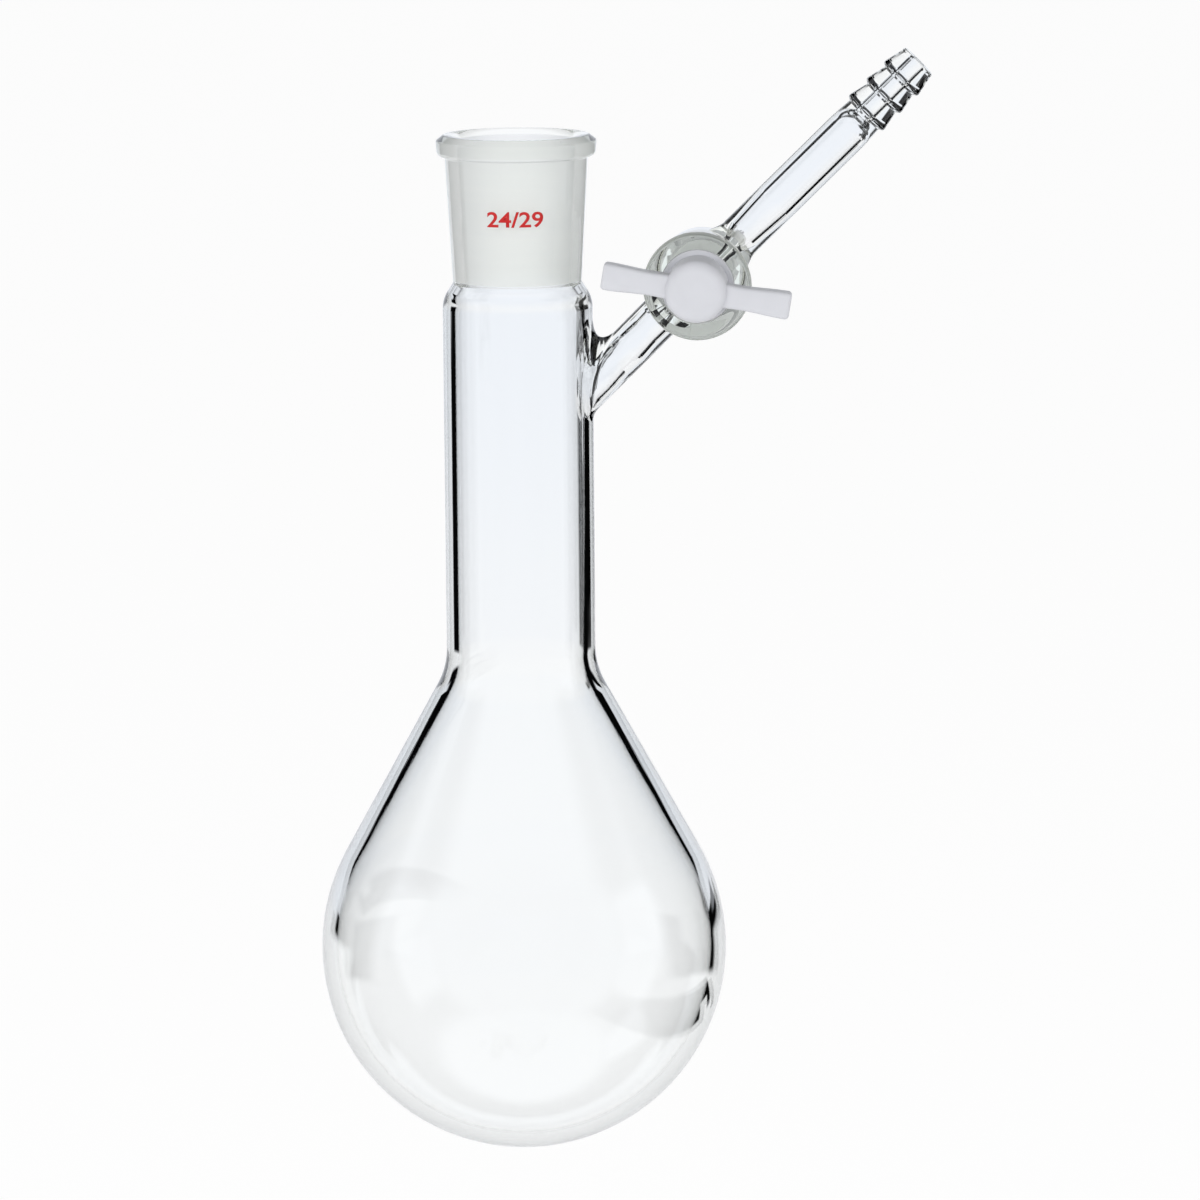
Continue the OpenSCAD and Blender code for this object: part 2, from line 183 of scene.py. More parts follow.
def ground_glass(name, tint, milkiness):
    """Glass cut by coarse grit: it scatters light to a pale grey, with fine turned streaks round it."""
    made, tree = new_material(name)
    spot = node(tree, "ShaderNodeTexCoord", (-1500, -100))
    # real grit marks are under 0.1 mm: they are drawn about 1 mm apart, so that they show
    marks = node(tree, "ShaderNodeMapping", (-1300, -100), Vector=spot.outputs["Object"], Scale=(60, 60, 900))
    streaks = node(tree, "ShaderNodeTexNoise", (-1100, -100), Vector=marks.outputs[0], Scale=1.0, Detail=3.0)
    tone = node(tree, "ShaderNodeMix", (-900, -100), {"data_type": "RGBA"},
                Factor=streaks.outputs["Fac"], i6=tint, i7=colour("#FFFFFF")).outputs[2]
    # painted shade: towards its edges, where the rough face is seen edge-on and would send less light back, its
    # colour is mixed to a darker grey
    facing = node(tree, "ShaderNodeLayerWeight", (-900, -350), Blend=0.4)
    shade = node(tree, "ShaderNodeMix", (-700, -200), {"data_type": "RGBA"},
                 Factor=facing.outputs["Facing"], i6=tone, i7=colour("#A2A6A8")).outputs[2]
    glass = node(tree, "ShaderNodeBsdfGlass", (-400, 0), Color=tone, Roughness=0.35, IOR=1.473)
    through = node(tree, "ShaderNodeBsdfTranslucent", (-500, -150), Color=shade)
    back = node(tree, "ShaderNodeBsdfDiffuse", (-500, -300), Color=shade)
    milk = node(tree, "ShaderNodeMixShader", (-350, -200), i0=0.5, i1=through.outputs[0], i2=back.outputs[0])
    frost = node(tree, "ShaderNodeMixShader", (-200, 0), i0=milkiness, i1=glass.outputs[0], i2=milk.outputs[0])
    node(tree, "ShaderNodeOutputMaterial", (200, 100), Surface=lets_light_by(tree, frost, "#F6F6F6"))
    return made


def white_plastic(name, tone, rough):
    """Turned and pressed PTFE: dense, waxy and dull, faintly clouded, with soft turning marks."""
    made, tree = new_material(name)
    spot = node(tree, "ShaderNodeTexCoord", (-900, 0))
    clouds = node(tree, "ShaderNodeTexNoise", (-700, 0), Vector=spot.outputs["Object"], Scale=220.0, Detail=4.0)
    shade = node(tree, "ShaderNodeMix", (-450, 0), {"data_type": "RGBA"}, Factor=clouds.outputs["Fac"],
                 i6=scaled(tone, 0.95), i7=scaled(tone, 1.04))
    bump = node(tree, "ShaderNodeBump", (-450, -250), Strength=0.1, Distance=0.0002, Height=clouds.outputs["Fac"])
    shader = node(tree, "ShaderNodeBsdfPrincipled", (-150, 0), Base_Color=shade.outputs[2], Roughness=rough, IOR=1.36,
                  Normal=bump.outputs["Normal"], Subsurface_Weight=0.1, Subsurface_Radius=(0.001, 0.001, 0.001))
    node(tree, "ShaderNodeOutputMaterial", (150, 0), Surface=shader.outputs[0])
    return made


def black_rubber():
    """Moulded fluorocarbon rubber: matt black with a faint bloom of dust."""
    made, tree = new_material("moulded_rubber")
    spot = node(tree, "ShaderNodeTexCoord", (-900, 0))
    dust = node(tree, "ShaderNodeTexNoise", (-700, 0), Vector=spot.outputs["Object"], Scale=900.0, Detail=5.0)
    shade = node(tree, "ShaderNodeMix", (-450, 0), {"data_type": "RGBA"}, Factor=dust.outputs["Fac"],
                 i6=colour("#141416"), i7=colour("#303033"))
    shader = node(tree, "ShaderNodeBsdfPrincipled", (-150, 0), Base_Color=shade.outputs[2], Roughness=0.6, IOR=1.5)
    node(tree, "ShaderNodeOutputMaterial", (150, 0), Surface=shader.outputs[0])
    return made


def red_print(tone):
    """Fired ceramic ink: an opaque, slightly raised red with a soft gloss and thin spots."""
    made, tree = new_material("fired_ink")
    spot = node(tree, "ShaderNodeTexCoord", (-900, 0))
    thin = node(tree, "ShaderNodeTexNoise", (-700, 0), Vector=spot.outputs["Object"], Scale=1500.0, Detail=2.0)
    shade = node(tree, "ShaderNodeMix", (-450, 0), {"data_type": "RGBA"}, Factor=thin.outputs["Fac"],
                 i6=tone, i7=scaled(tone, 0.8))
    shader = node(tree, "ShaderNodeBsdfPrincipled", (-150, 0), Base_Color=shade.outputs[2], Roughness=0.35, IOR=1.5)
    node(tree, "ShaderNodeOutputMaterial", (150, 0), Surface=shader.outputs[0])
    return made


def coat(thing, *materials):
    """Gives thing these materials and no other."""
    thing.data.materials.clear()
    for material in materials:
        thing.data.materials.append(material)


def alone(thing):
    """Makes thing the only selected and the active object."""
    bpy.ops.object.select_all(action="DESELECT")
    thing.select_set(True)
    bpy.context.view_layer.objects.active = thing


def corner(a, b, c, r, steps):
    """The arc that rounds corner b between a and c by radius r, or the bare corner."""
    if r <= 0:
        return [b]
    u, v = (a - b).normalized(), (c - b).normalized()
    half = math.acos(max(-1, min(1, u.dot(v)))) / 2
    centre = b + (u + v).normalized() * r / math.sin(half)
    p, q = b + u * r / math.tan(half) - centre, b + v * r / math.tan(half) - centre
    start = math.atan2(p.y, p.x)
    turn = (math.atan2(q.y, q.x) - start + 3 * math.pi) % (2 * math.pi) - math.pi
    angles = [start + turn * i / steps for i in range(steps + 1)]
    return [centre + r * Vector((math.cos(t), math.sin(t))) for t in angles]


def rounded(points, steps=8):
    """An outline of (radius, height, rounding) corners with each corner rounded."""
    count = len(points)
    flat = [Vector(p[:2]) for p in points]
    ends = [p[2] if 0 < i < count - 1 else 0 for i, p in enumerate(points)]
    return [q for i in range(count) for q in corner(flat[i - 1], flat[i], flat[(i + 1) % count], ends[i], steps)]


def spun(name, outline, foot, axis, side, steps):
    """A turned body: an outline of radius and place along an axis, drawn as a chain and spun about that axis."""
    foot, axis, side = Vector(foot) * MM, Vector(axis), Vector(side)
    places = [foot + (axis * z + side * r) * MM for r, z in outline]
    bpy.ops.object.select_all(action="DESELECT")
    bpy.ops.mesh.primitive_plane_add(size=0.001)
    piece = bpy.context.active_object
    piece.name = name
    bpy.ops.object.mode_set(mode="EDIT")
    bpy.ops.mesh.select_all(action="SELECT")
    bpy.ops.mesh.merge(type="CENTER")
    bpy.ops.transform.translate(value=places[0])
    for a, b in zip(places, places[1:]):
        bpy.ops.mesh.extrude_vertices_move(TRANSFORM_OT_translate={"value": b - a})
    bpy.ops.mesh.select_all(action="SELECT")
    bpy.ops.mesh.spin(steps=steps, angle=2 * math.pi, center=foot, axis=axis)
    bpy.ops.mesh.select_all(action="SELECT")
    bpy.ops.mesh.remove_doubles(threshold=MERGE)
    bpy.ops.mesh.normals_make_consistent(inside=False)
    bpy.ops.object.mode_set(mode="OBJECT")
    return piece


def block(name, size, place, cuts=0):
    """A box round place, cut into equal lengths along its first side where it is to be shaped."""
    bpy.ops.object.select_all(action="DESELECT")
    bpy.ops.mesh.primitive_cube_add(size=1)
    piece = bpy.context.active_object
    piece.name = name
    bpy.ops.object.mode_set(mode="EDIT")
    for i in range(1, cuts + 1):
        bpy.ops.mesh.select_all(action="SELECT")
        bpy.ops.mesh.bisect(plane_co=(i / (cuts + 1) - 0.5, 0, 0), plane_no=(1, 0, 0))
    bpy.ops.object.mode_set(mode="OBJECT")
    for v in piece.data.vertices:
        v.co = Vector([place[i] + size[i] * v.co[i] for i in range(3)]) * MM
    return piece


def drawn_neck(name, r, around, weld, sides=96, rings=12):
    """Glass drawn from a slanted tube of radius r into a wall of radius around: a grid wrapped to a closed sleeve."""
    a, up, level = Vector((-1, 0, -1)).normalized(), Vector((-1, 0, 1)).normalized(), Vector((0, 1, 0))
    middle = AXLE.z - (AXLE.x - around)

    def wall(s, t):
        return AXLE + a * s + (r + PROUD) * (math.cos(t) * up + math.sin(t) * level)

    def reach(t):
        return weld / math.tan((math.pi / 2 - math.pi / 4 * math.cos(t)) / 2)

    def meets(t):
        depth = math.sqrt(around**2 - (r * math.sin(t)) ** 2)
        return (AXLE.x - r * math.sqrt(0.5) * math.cos(t) - depth) * math.sqrt(2)

    def spread(t, depth):
        p = wall(meets(t), t)
        width = math.asin(p.y / around) * around
        away = Vector((width, p.z - middle)).normalized() * reach(t)
        w = (width + away.x) / around
        return Vector(((around - depth) * math.cos(w), (around - depth) * math.sin(w), p.z + away.y))

    def curve(t, k):
        start, bend, end = wall(meets(t) - reach(t), t), wall(meets(t), t), spread(t, PROUD)
        return (1 - k) ** 2 * start + 2 * k * (1 - k) * bend + k * k * end

    bpy.ops.object.select_all(action="DESELECT")
    bpy.ops.mesh.primitive_grid_add(x_subdivisions=sides, y_subdivisions=rings + 3, size=1)
    piece = bpy.context.active_object
    piece.name = name
    for v in piece.data.vertices:
        t = 2 * math.pi * round((v.co.x + 0.5) * sides) / sides
        ring = round((v.co.y + 0.5) * (rings + 3)) - 1
        if ring < 0:
            place = AXLE + a * (SPAN - 2 * around)
        elif ring <= rings:
            place = curve(t, ring / rings)
        elif ring == rings + 1:
            place = spread(t, NECK_WALL / 2)
        else:
            place = AXLE + a * (SPAN - around + NECK_WALL)
        v.co = place * MM
    bpy.ops.object.mode_set(mode="EDIT")
    bpy.ops.mesh.select_all(action="SELECT")
    bpy.ops.mesh.remove_doubles(threshold=MERGE)
    bpy.ops.mesh.normals_make_consistent(inside=False)
    bpy.ops.object.mode_set(mode="OBJECT")
    return piece


def worked(piece, operation, others):
    """Joins each of others to piece, or cuts it away."""
    for other in others:
        alone(piece)
        bpy.ops.object.modifier_add(type="BOOLEAN")
        made = piece.modifiers[-1]
        made.operation, made.object, made.solver = operation, other, "MANIFOLD"
        bpy.ops.object.modifier_apply(modifier=made.name)
        alone(other)
        bpy.ops.object.delete()


def body_outline(bulb, neck, collar):
    """The flask's outline from the bulb's foot up to the neck, and collar's corners above it."""
    cone = math.radians(CONE)
    top = BULB_Z + (bulb - neck * math.cos(cone)) / math.sin(cone)
    angles = [math.radians(-90 + (90 + CONE) * i / BALL_STEPS) for i in range(BALL_STEPS + 1)]
    arc = [(bulb * math.cos(t), BULB_Z + bulb * math.sin(t), 0) for t in angles]
    return rounded(arc + [(neck, top, CONE_FILLET + BULB - bulb)] + collar, 14)


def arm_outlines():
    """The outlines of the side arm and of its bore, from the key's axis down to the neck."""
    # both run on past the neck's wall, where the flask's inside cuts them off
    end, bore_end = SPAN - NECK + 4, SPAN - NECK + 5
    outside = [(0, 0, 0), (ARM + WELD_SPREAD, WELD_FOOT, 0), (ARM, WELD_TOP, 2 * WELD_SPREAD),
               (ARM_ROOT, SPAN - NECK, 0), (ARM_ROOT, end, 0), (0, end, 0)]
    swells = [(ARM_BORE + swell, SEAT + FUNNEL + along, 9) for along, swell in UNEVEN]
    bore = [(0, 0, 0), (COCK_BORE, 0, 0), (COCK_BORE, SEAT, 0), (ARM_BORE, SEAT + FUNNEL, 1), *swells,
            (ARM_ROOT_BORE, SPAN - NECK, 0), (ARM_ROOT_BORE, bore_end, 0), (0, bore_end, 0)]
    return rounded(outside), rounded(bore)


def outlet_outlines():
    """The outlines of the outlet with its barb and of its bore, from the key's axis out to the tip."""
    ridges = []
    for i in range(RIDGES):
        top, along = RIDGE - i * RIDGE_STEP, BARB + i * RIDGE_PITCH
        ridges += [(top, along + RIDGE_RISE, RIDGE_ROUND), (top, along + RIDGE_RISE + RIDGE_LAND, RIDGE_ROUND),
                   (top - RIDGE_STEP - RIDGE_DEPTH, along + RIDGE_PITCH, FOOT_ROUND)]
    outside = [(0, 0, 0), (OUTLET + WELD_SPREAD, WELD_FOOT, 0), (OUTLET, WELD_TOP, 2 * WELD_SPREAD),
               (OUTLET, BARB - BARB_NECK, BARB_ROUND), (RIDGE - RIDGE_DEPTH, BARB, FOOT_ROUND), *ridges,
               (RIDGE - RIDGES * RIDGE_STEP - RIDGE_DEPTH, REACH, 0.5), (0, REACH, 0)]
    bore = [(0, 0, 0), (COCK_BORE, 0, 0), (COCK_BORE, SEAT, 0), (OUTLET_BORE - 0.6, SEAT + FUNNEL, 1.5),
            (OUTLET_BORE, SEAT + FUNNEL + 9, 12), (OUTLET_BORE, BARB - 2, 5), (BARB_BORE, BARB - 0.6, 0.5),
            (BARB_BORE, REACH + OVER, 0), (0, REACH + OVER, 0)]
    return rounded(outside), rounded(bore)


class FlaskProps(bpy.types.PropertyGroup):
    """The sizes, colours and angles that a user would change"""

    glass_tint: bpy.props.FloatVectorProperty(
        name="Glass tint", description="Tint of the clear glass",
        default=colour("#FFFFFF"), size=4, min=0, max=1, subtype="COLOR")
    ground_tint: bpy.props.FloatVectorProperty(
        name="Ground tint", description="Tint of the ground glass in the socket",
        default=colour("#FAFBFC"), size=4, min=0, max=1, subtype="COLOR")
    barrel_tint: bpy.props.FloatVectorProperty(
        name="Barrel tint", description="Tint of the ground glass round the key",
        default=colour("#F6F6EC"), size=4, min=0, max=1, subtype="COLOR")
    plastic_tone: bpy.props.FloatVectorProperty(
        name="Key tone", description="Colour of the white key",
        default=colour("#C6C7CC"), size=4, min=0, max=1, subtype="COLOR")
    print_tone: bpy.props.FloatVectorProperty(
        name="Print tone", description="Colour of the printed numbers",
        default=colour("#C00000"), size=4, min=0, max=1, subtype="COLOR")
    print_height: bpy.props.FloatProperty(
        name="Print height", description="Height of the printed numbers", default=0.0032, unit="LENGTH")
    camera_turn: bpy.props.FloatProperty(
        name="Camera turn", description="Camera's angle round the flask", default=math.radians(2.5), subtype="ANGLE")
    camera_rise: bpy.props.FloatProperty(
        name="Camera rise", description="Camera's angle above the level", default=math.radians(9.0), subtype="ANGLE")
    floor_drop: bpy.props.FloatProperty(
        name="Floor drop", description="Height of the clamped flask above the floor", default=0.1, unit="LENGTH")


class FLASK_OT_glass(bpy.types.Operator):
    """Builds the glass of the flask, fused to its barrel, side arm and outlet, and frosts its ground zones"""

    bl_idname = "flask.glass"
    bl_label = "Glass"

    def execute(self, context):
        props = context.scene.flask
        glass = spun("flask_glass", body_outline(BULB, NECK, [
            (NECK, GROUND_END - STEP, STEP_ROUND), (SOCKET_END + SOCKET_WALL, GROUND_END, 0.8),
            (SOCKET + SOCKET_WALL, RIM - COLLAR_HEIGHT, 0.5), (COLLAR - COLLAR_SPREAD, RIM - COLLAR_HEIGHT, 1.2),
            (COLLAR, RIM - RIM_FALL, 0.6), (SOCKET + FLARE + RIM_LAND, RIM, 0.6), (0, RIM, 0)]),
            ORIGIN, UP, RIGHT, ROUND)
        inside = spun("inside", body_outline(BULB - BULB_WALL, NECK - NECK_WALL, [
            (NECK - NECK_WALL, GROUND_END - STEP, STEP_ROUND / 2), (SOCKET_END, GROUND_END, 1),
            (SOCKET, RIM - LIP, 1), (SOCKET + FLARE, RIM, 0), (SOCKET + FLARE, RIM + OVER, 0), (0, RIM + OVER, 0)]),
            ORIGIN, UP, RIGHT, ROUND)
        barrel = spun("barrel", rounded([
            (0, -FRONT, 0), (BARREL, -FRONT, 0.9), (BARREL_BACK, BACK, 0.9), (0, BACK, 0)]),
            AXLE, FORWARD, RIGHT, BARREL_ROUND)
        ends = (-FRONT - OVER, BACK + OVER)
        seat = [(SEAT - (y + FRONT) / SEAT_TAPER, y) for y in ends]
        bore = spun("bore", [(0, ends[0]), *seat, (0, ends[1])], AXLE, FORWARD, RIGHT, BARREL_ROUND)
        down, across = Vector((-1, 0, -1)).normalized(), Vector((-1, 0, 1)).normalized()
        heading = math.radians(OUTLET_ANGLE)
        out = Vector((math.cos(heading), 0, math.sin(heading)))
        over = Vector((-math.sin(heading), 0, math.cos(heading)))
        arm, arm_bore = (spun(name, outline, AXLE, down, across, ARM_ROUND)
                         for name, outline in zip(("arm", "arm_bore"), arm_outlines()))
        outlet, outlet_bore = (spun(name, outline, AXLE, out, over, ARM_ROUND)
                               for name, outline in zip(("outlet", "outlet_bore"), outlet_outlines()))
        worked(glass, "UNION", [barrel, arm, outlet, drawn_neck("neck_weld", ARM_ROOT, NECK, ARM_WELD)])
        worked(glass, "DIFFERENCE", [inside, bore, arm_bore, outlet_bore,
                                     drawn_neck("bore_weld", ARM_ROOT_BORE, NECK - NECK_WALL, BORE_WELD)])
        alone(glass)
        bpy.ops.object.shade_smooth_by_angle(angle=math.radians(35))
        coat(glass, clear_glass(props.glass_tint), ground_glass("ground_socket", props.ground_tint, 0.7),
             ground_glass("ground_barrel", props.barrel_tint, 0.8))
        for face in glass.data.polygons:
            # only the walls that face the socket's axis or the key's are ground
            c, n = face.center / MM, face.normal
            r = math.hypot(c.x, c.y)
            in_socket = 1 < r < SOCKET + 0.2 and GROUND_END + 0.2 < c.z < RIM - LIP - 0.2
            if in_socket and (c.x * n.x + c.y * n.y) / r < -0.8:
                face.material_index = 1
            away = c - AXLE
            r = math.hypot(away.x, away.z)
            in_barrel = 3 < r < SEAT + 0.3 and -FRONT < away.y < BACK
            if in_barrel and (away.x * n.x + away.z * n.z) / r < -0.9:
                face.material_index = 2
        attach(glass, "flask")
        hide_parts("glass_flask")
        return {"FINISHED"}


class FLASK_OT_numbers(bpy.types.Operator):
    """Prints the socket's size on its outside"""

    bl_idname = "flask.numbers"
    bl_label = "Numbers"

    def execute(self, context):
        props = context.scene.flask
        bpy.ops.object.select_all(action="DESELECT")
        bpy.ops.object.text_add(location=(0, 0, 0))
        text = context.active_object
        text.name = "printed_numbers"
        text.data.body = "24/29"
        text.data.align_x, text.data.align_y = "CENTER", "CENTER"
        text.data.size = 1
        text.data.resolution_u = 6
        text.data.offset = 0.018
        bpy.ops.object.convert(target="MESH")
        low = [min(v.co[i] for v in text.data.vertices) for i in (0, 1)]
        high = [max(v.co[i] for v in text.data.vertices) for i in (0, 1)]
        bpy.ops.object.mode_set(mode="EDIT")
        for i in range(1, PRINT_COLUMNS):
            # narrow columns let the flat figures follow the round wall
            bpy.ops.mesh.select_all(action="SELECT")
            bpy.ops.mesh.bisect(plane_co=(low[0] + (high[0] - low[0]) * i / PRINT_COLUMNS, 0, 0), plane_no=(1, 0, 0))
        bpy.ops.mesh.select_all(action="SELECT")
        bpy.ops.mesh.extrude_region_move(TRANSFORM_OT_translate={"value": (0, 0, 1)})
        bpy.ops.mesh.select_all(action="SELECT")
        bpy.ops.mesh.normals_make_consistent(inside=False)
        bpy.ops.object.mode_set(mode="OBJECT")
        rise = (SOCKET - SOCKET_END) / (RIM - COLLAR_HEIGHT - GROUND_END)
        for v in text.data.vertices:
            x = ((v.co.x - low[0]) / (high[0] - low[0]) - 0.5) * PRINT_WIDTH
            z = PRINT_Z + ((v.co.y - low[1]) / (high[1] - low[1]) - 0.5) * props.print_height / MM
            r = SOCKET_END + SOCKET_WALL + (z - GROUND_END) * rise
            w = x / r + math.radians(PRINT_TURN)
            r += INK_FOOT + INK * v.co.z
            v.co = Vector((r * math.sin(w), -r * math.cos(w), z)) * MM
        coat(text, red_print(props.print_tone))
        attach(text, "flask")
        return {"FINISHED"}


class FLASK_OT_key(bpy.types.Operator):
    """Builds the stopcock's key and gives its washer, ring and nut their finish"""

    bl_idname = "flask.key"
    bl_label = "Stopcock key"

    def execute(self, context):
        props = context.scene.flask
        tilt = math.radians(HANDLE_TILT)
        bar, rise = Vector((math.cos(tilt), 0, -math.sin(tilt))), Vector((math.sin(tilt), 0, math.cos(tilt)))
        front, big, small, tail = -FRONT - HEAD_LENGTH, -FRONT + 1, BACK - 1, BACK + TAIL_LENGTH
        cone = [SEAT - (y + FRONT) / SEAT_TAPER - KEY_GAP for y in (big, small)]
        key = spun("stopcock_key", rounded([
            (0, front, 0), (HEAD, front, HEAD_ROUND), (HEAD, big, 0), (cone[0], big, 0.3), (cone[1], small, 0.5),
            (0, small, 0)]), AXLE, FORWARD, RIGHT, BARREL_ROUND)

        # each turn of the thread, 1 mm apart, rises from its groove to a narrow land and falls again
        groove = TAIL - THREAD_DEPTH
        thread = [(TAIL if high else groove, BACK + THREAD_START + i + step) for i in range(THREAD_TURNS)
                  for step, high in ((0, 0), (0.35, 1), (0.5, 1), (0.85, 0))]
        stem = spun("stem", [(0, 0), (TAIL, 0), (TAIL, BACK + THREAD_START - 0.4), *thread, (groove, tail - 0.4),
                             (TAIL - 0.8, tail), (0, tail)], AXLE, FORWARD, RIGHT, ARM_ROUND)
        worked(stem, "DIFFERENCE", [block("flat", (8, 60, 4), AXLE + Vector((0, 0, way * (TAIL_FLAT / 2 + 2))))
                                    for way in (-1, 1)])

        handle = block("handle", (1, HANDLE_THICK, HANDLE_ROOT),
                       (0, front + HANDLE_INSET + HANDLE_THICK / 2, 0), HANDLE_CUTS)
        for v in handle.data.vertices:
            # the wings narrow towards a waist halfway along and widen again at their ends
            along = v.co.x / MM * 2
            waist = 1 - HANDLE_WAIST * math.sin(math.pi * min(1, abs(along) / 0.95)) ** 2
            place = bar * along * HANDLE / 2 + rise * v.co.z / MM * waist
            v.co = (AXLE + Vector((place.x, v.co.y / MM, place.z))) * MM
        alone(handle)
        bpy.ops.object.modifier_add(type="BEVEL")
        soft = handle.modifiers[-1]
        soft.width, soft.segments, soft.angle_limit = HANDLE_BEVEL * MM, 4, math.radians(50)
        bpy.ops.object.modifier_apply(modifier=soft.name)

        worked(key, "UNION", [handle, stem])
        reach = SEAT + 1.5
        cross = [(0, -reach), (COCK_BORE, -reach), (COCK_BORE, reach), (0, reach)]
        worked(key, "DIFFERENCE", [spun("cross_bore", cross, AXLE, bar, FORWARD, 48)])
        alone(key)
        bpy.ops.object.shade_smooth_by_angle(angle=math.radians(40))
        coat(key, white_plastic("turned_ptfe", props.plastic_tone, 0.42))
        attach(key, "plug")
        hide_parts("stopcock_plug")
        pressed = white_plastic("pressed_ptfe", props.plastic_tone, 0.5)
        for name, finish in (("plug_washer", pressed), ("plug_nut", pressed), ("plug_o_ring", black_rubber())):
            coat(FRAME["nodes"][name], finish)
        return {"FINISHED"}


def bearings(tree, output):
    """A point's x, y and z, and its angle round the flask from straight behind, in radians."""
    spot = node(tree, "ShaderNodeTexCoord", (-1800, 0))
    x, y, z = node(tree, "ShaderNodeSeparateXYZ", (-1600, 0), i0=spot.outputs[output]).outputs
    turned_to = node(tree, "ShaderNodeMath", (-1400, 0), {"operation": "ARCTAN2"}, i0=x, i1=y)
    return x, y, z, turned_to.outputs[0]


def between(value, low, high, soft):
    """The two edges of an area that lies from low to high, with edges soft to either side, all in degrees."""
    low, high, soft = math.radians(low), math.radians(high), math.radians(soft)
    return (value, low - soft, low + soft), (value, high + soft, high - soft)


def area(tree, place, *edges):
    """An area that is 1 inside all its edges and 0 outside: an edge is a value, where it's 0 and where it's 1."""
    inside = None
    for i, (value, off, full) in enumerate(edges):
        edge = node(tree, "ShaderNodeMapRange", (place[0], place[1] - 60 * i), SMOOTH,
                    Value=value, From_Min=off, From_Max=full)
        if inside is not None:
            edge = node(tree, "ShaderNodeMath", (place[0] + 200, place[1] - 60 * i), {"operation": "MULTIPLY"},
                        i0=inside.outputs[0], i1=edge.outputs[0])
        inside = edge
    return inside.outputs[0]


def shown(tree, camera, light, glass):
    """One shader for the camera, one that lights the flask and one that is seen in and through the glass."""
    path = node(tree, "ShaderNodeLightPath", (0, 500))
    first = node(tree, "ShaderNodeMixShader", (500, -200), i0=path.outputs["Is Camera Ray"],
                 i1=light.outputs[0], i2=camera.outputs[0])
    through = node(tree, "ShaderNodeMath", (200, 400), {"operation": "MAXIMUM"},
                   i0=path.outputs["Is Transmission Ray"], i1=path.outputs["Is Glossy Ray"])
    last = node(tree, "ShaderNodeMixShader", (700, 0), i0=through.outputs[0],
                i1=first.outputs[0], i2=glass.outputs[0])
    return last.outputs[0]


def pale_floor():
    """Matt white board: it reads white, lights the flask from below and shows dark edges through the glass."""
    made, tree = new_material("pale_floor")
    x, y, _, turned_to = bearings(tree, "Object")
    flat = node(tree, "ShaderNodeCombineXYZ", (-1400, -200), i0=x, i1=y)
    far = node(tree, "ShaderNodeVectorMath", (-1200, -200), {"operation": "LENGTH"}, i0=flat.outputs[0]).outputs[1]
    # a dark gap runs beside the white table, with a white card across its near edge
    card = area(tree, (-1100, 300), (x, 0.25, 0.24), (y, 0.245, 0.26), (y, 0.335, 0.32))
    gap = area(tree, (-1100, 0), (x, 0.185, 0.195), (x, 0.365, 0.35), (y, 0.375, 0.355))
    behind = node(tree, "ShaderNodeMix", (-650, 0), Factor=gap, A=1.0, B=card).outputs[0]
    # further off, the floor shows a shelf, then the foot of the wall, and last the wall as the world shows it
    steps = ((-62, 33, 3, 0.5, 0.6), (-38, 18, 2, 1.0, 1.3), (WALL_LEFT, WALL_RIGHT, 3, 2.2, 2.8))
    for i, (left, right, soft, near_end, far_start) in enumerate(steps):
        lit = area(tree, (-1100, -300 - 250 * i), *between(turned_to, left, right, soft))
        beyond = area(tree, (-900, -400 - 250 * i), (far, near_end, far_start))
        behind = node(tree, "ShaderNodeMix", (-500 + 120 * i, 0), Factor=beyond, A=behind, B=lit).outputs[0]
    aside = node(tree, "ShaderNodeMath", (-1300, -1100), {"operation": "ABSOLUTE"}, i0=turned_to).outputs[0]
    sides = area(tree, (-1100, -1100), (aside, math.radians(82), math.radians(90)), (far, 0.4, 0.6))
    lit = node(tree, "ShaderNodeMath", (-200, 0), {"operation": "MAXIMUM"}, i0=behind, i1=sides).outputs[0]
    front = area(tree, (-300, -300), (y, 0.0, -0.3))
    white = node(tree, "ShaderNodeMix", (-50, 0), Factor=front, A=lit, B=0.8).outputs[0]
    level = node(tree, "ShaderNodeMapRange", (100, 50), Value=white, To_Min=DARKEST, To_Max=LIGHTEST).outputs[0]
    tone = node(tree, "ShaderNodeMix", (100, 250), {"data_type": "RGBA"},
                Factor=area(tree, (-100, 250), (far, 0.4, 2.4)),
                i6=colour("#F8F9FB"), i7=colour(WALL_TONE)).outputs[2]
    bent = node(tree, "ShaderNodeEmission", (300, 50), Color=tone, Strength=level)
    paint = node(tree, "ShaderNodeBsdfDiffuse", (0, -200), Color=colour("#898989"))
    glow = node(tree, "ShaderNodeEmission", (0, -350), Color=colour("#FFFFFF"), Strength=0.83)
    seen = node(tree, "ShaderNodeAddShader", (200, -250), i0=paint.outputs[0], i1=glow.outputs[0])
    plain = node(tree, "ShaderNodeEmission", (200, -400), Color=colour("#FFFFFF"), Strength=0.95)
    node(tree, "ShaderNodeOutputMaterial", (900, 0), Surface=shown(tree, seen, plain, bent))
    return made


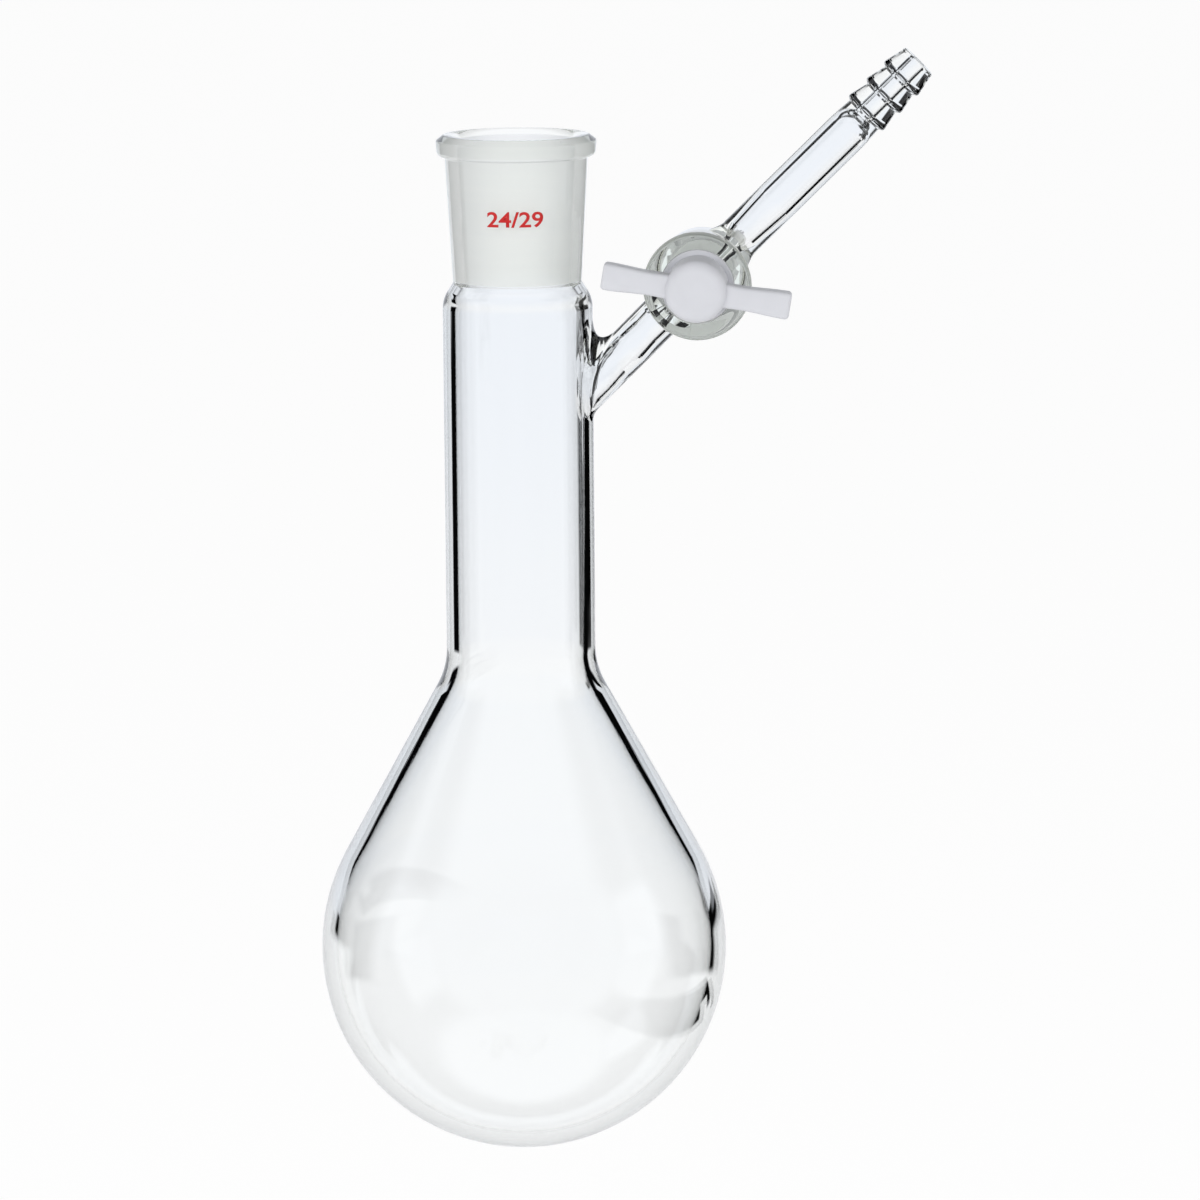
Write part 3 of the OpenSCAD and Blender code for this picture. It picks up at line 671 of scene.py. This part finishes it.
def studio_world(world):
    """A white wall behind, panels at the sides and a ceiling; what is dark between them draws the glass's edges."""
    tree = world.node_tree
    tree.nodes.clear()
    _, y, z, turned_to = bearings(tree, "Generated")
    raised = node(tree, "ShaderNodeMath", (-1400, -200), {"operation": "ARCSINE"}, i0=z).outputs[0]
    # a little above the level the wall draws in on both sides
    pocket = area(tree, (-1700, 200), *between(raised, 4, 13, 3))
    lean = node(tree, "ShaderNodeMath", (-1350, 200), {"operation": "MULTIPLY"},
                i0=pocket, i1=math.radians(14)).outputs[0]
    west, east = (node(tree, "ShaderNodeMath", (-1200, 200), {"operation": way}, i0=turned_to, i1=lean).outputs[0]
                  for way in ("SUBTRACT", "ADD"))
    room = node(tree, "ShaderNodeMapRange", (-1100, -1500), SMOOTH, Value=y,
                From_Min=-0.25, From_Max=-0.5, To_Max=0.8).outputs[0]
    lit = area(tree, (-1000, 200), *between(west, WALL_LEFT, 170, 3), *between(east, -170, WALL_RIGHT, 3),
               *between(raised, -95, WALL_TOP, 3))
    # a panel at each side, the ceiling, a high panel at the left and the dim room in front
    panels = (area(tree, (-1100, -300), *between(turned_to, -118, -86, 4), *between(raised, -95, 30, 6)),
              area(tree, (-1100, -600), *between(turned_to, 86, 118, 4), *between(raised, -95, 30, 6)),
              area(tree, (-1100, -900), *between(raised, 48, 95, 8)),
              area(tree, (-1100, -1200), *between(turned_to, -90, -59, 3), *between(raised, 28, 52, 3)), room)
    for i, panel in enumerate(panels):
        lit = node(tree, "ShaderNodeMath", (-600 + 120 * i, -300), {"operation": "MAXIMUM"},
                   i0=lit, i1=panel).outputs[0]
    level = node(tree, "ShaderNodeMapRange", (100, -300), Value=lit, To_Min=DARKEST, To_Max=LIGHTEST).outputs[0]
    studio = node(tree, "ShaderNodeBackground", (300, -300), Color=colour(WALL_TONE), Strength=level)
    # soft light comes from the white table and the sides; less of it falls from above
    glow = node(tree, "ShaderNodeMapRange", (100, -100), SMOOTH, Value=raised,
                From_Min=math.radians(15), From_Max=math.radians(50), To_Min=1.3, To_Max=0.25).outputs[0]
    soft = node(tree, "ShaderNodeBackground", (300, -100), Color=colour("#FFFFFF"), Strength=glow)
    white = node(tree, "ShaderNodeBackground", (300, 100), Color=colour("#FFFFFF"), Strength=0.97)
    node(tree, "ShaderNodeOutputWorld", (900, 0), Surface=shown(tree, white, soft, studio))


class FLASK_OT_studio(bpy.types.Operator):
    """Sets the floor, the light and the camera"""

    bl_idname = "flask.studio"
    bl_label = "Studio"

    def execute(self, context):
        props = context.scene.flask
        turn, rise = props.camera_turn, props.camera_rise
        back = Vector((math.sin(turn) * math.cos(rise), -math.cos(turn) * math.cos(rise), math.sin(rise)))
        bpy.ops.object.camera_add(location=AIM + back * DISTANCE)
        camera = context.active_object
        camera.name = "camera"
        camera.rotation_mode = "QUATERNION"
        roll = Matrix.Rotation(math.radians(ROLL), 3, "Z").to_quaternion()
        camera.rotation_quaternion = (-back).to_track_quat("-Z", "Y") @ roll
        camera.data.lens, camera.data.sensor_width = LENS, SENSOR
        camera.data.clip_start, camera.data.clip_end = 0.05, 50
        context.scene.camera = camera

        bpy.ops.mesh.primitive_plane_add(size=40, location=(0, 0, GLASS_BOX[0].z - props.floor_drop))
        floor = context.active_object
        floor.name = "floor"
        floor.data.materials.append(pale_floor())

        context.scene.world = bpy.data.worlds.new("studio")
        context.scene.world.use_nodes = True
        studio_world(context.scene.world)

        for name, place, size, power in (("key_light", (-0.7, -1.0, 0.25), 0.9, 5),
                                         ("fill_light", (0.9, -0.9, 0.05), 0.9, 3)):
            bpy.ops.object.light_add(type="AREA", location=place)
            lamp = context.active_object
            lamp.name = name
            lamp.data.size = size
            lamp.data.energy = power
            lamp.rotation_mode = "QUATERNION"
            lamp.rotation_quaternion = (-Vector(place)).to_track_quat("-Z", "Y")
            lamp.visible_glossy = False
            lamp.visible_transmission = False
        context.scene.view_settings.view_transform = "Standard"
        context.scene.cycles.max_bounces = 24
        context.scene.cycles.transmission_bounces = 24
        # light that a wall of glass mirrors over and over is left out, which keeps the dark rims black
        context.scene.cycles.glossy_bounces = 2
        return {"FINISHED"}


class FLASK_PT_panel(bpy.types.Panel):
    """Lists the steps that build the flask"""

    bl_label = "Schlenk flask"
    bl_idname = "FLASK_PT_panel"
    bl_space_type = "VIEW_3D"
    bl_region_type = "UI"
    bl_category = "Flask"

    def draw(self, context):
        for made in STEPS:
            self.layout.operator(made.bl_idname)


STEPS = (FLASK_OT_glass, FLASK_OT_numbers, FLASK_OT_key, FLASK_OT_studio)


def register():
    for made in (FlaskProps, *STEPS, FLASK_PT_panel):
        bpy.utils.register_class(made)
    bpy.types.Scene.flask = bpy.props.PointerProperty(type=FlaskProps)


def unregister():
    del bpy.types.Scene.flask
    for made in (FLASK_PT_panel, *reversed(STEPS), FlaskProps):
        bpy.utils.unregister_class(made)


def main():
    register()
    bpy.ops.flask.glass()
    bpy.ops.flask.numbers()
    bpy.ops.flask.key()
    bpy.ops.flask.studio()


if __name__ == "__main__":
    main()
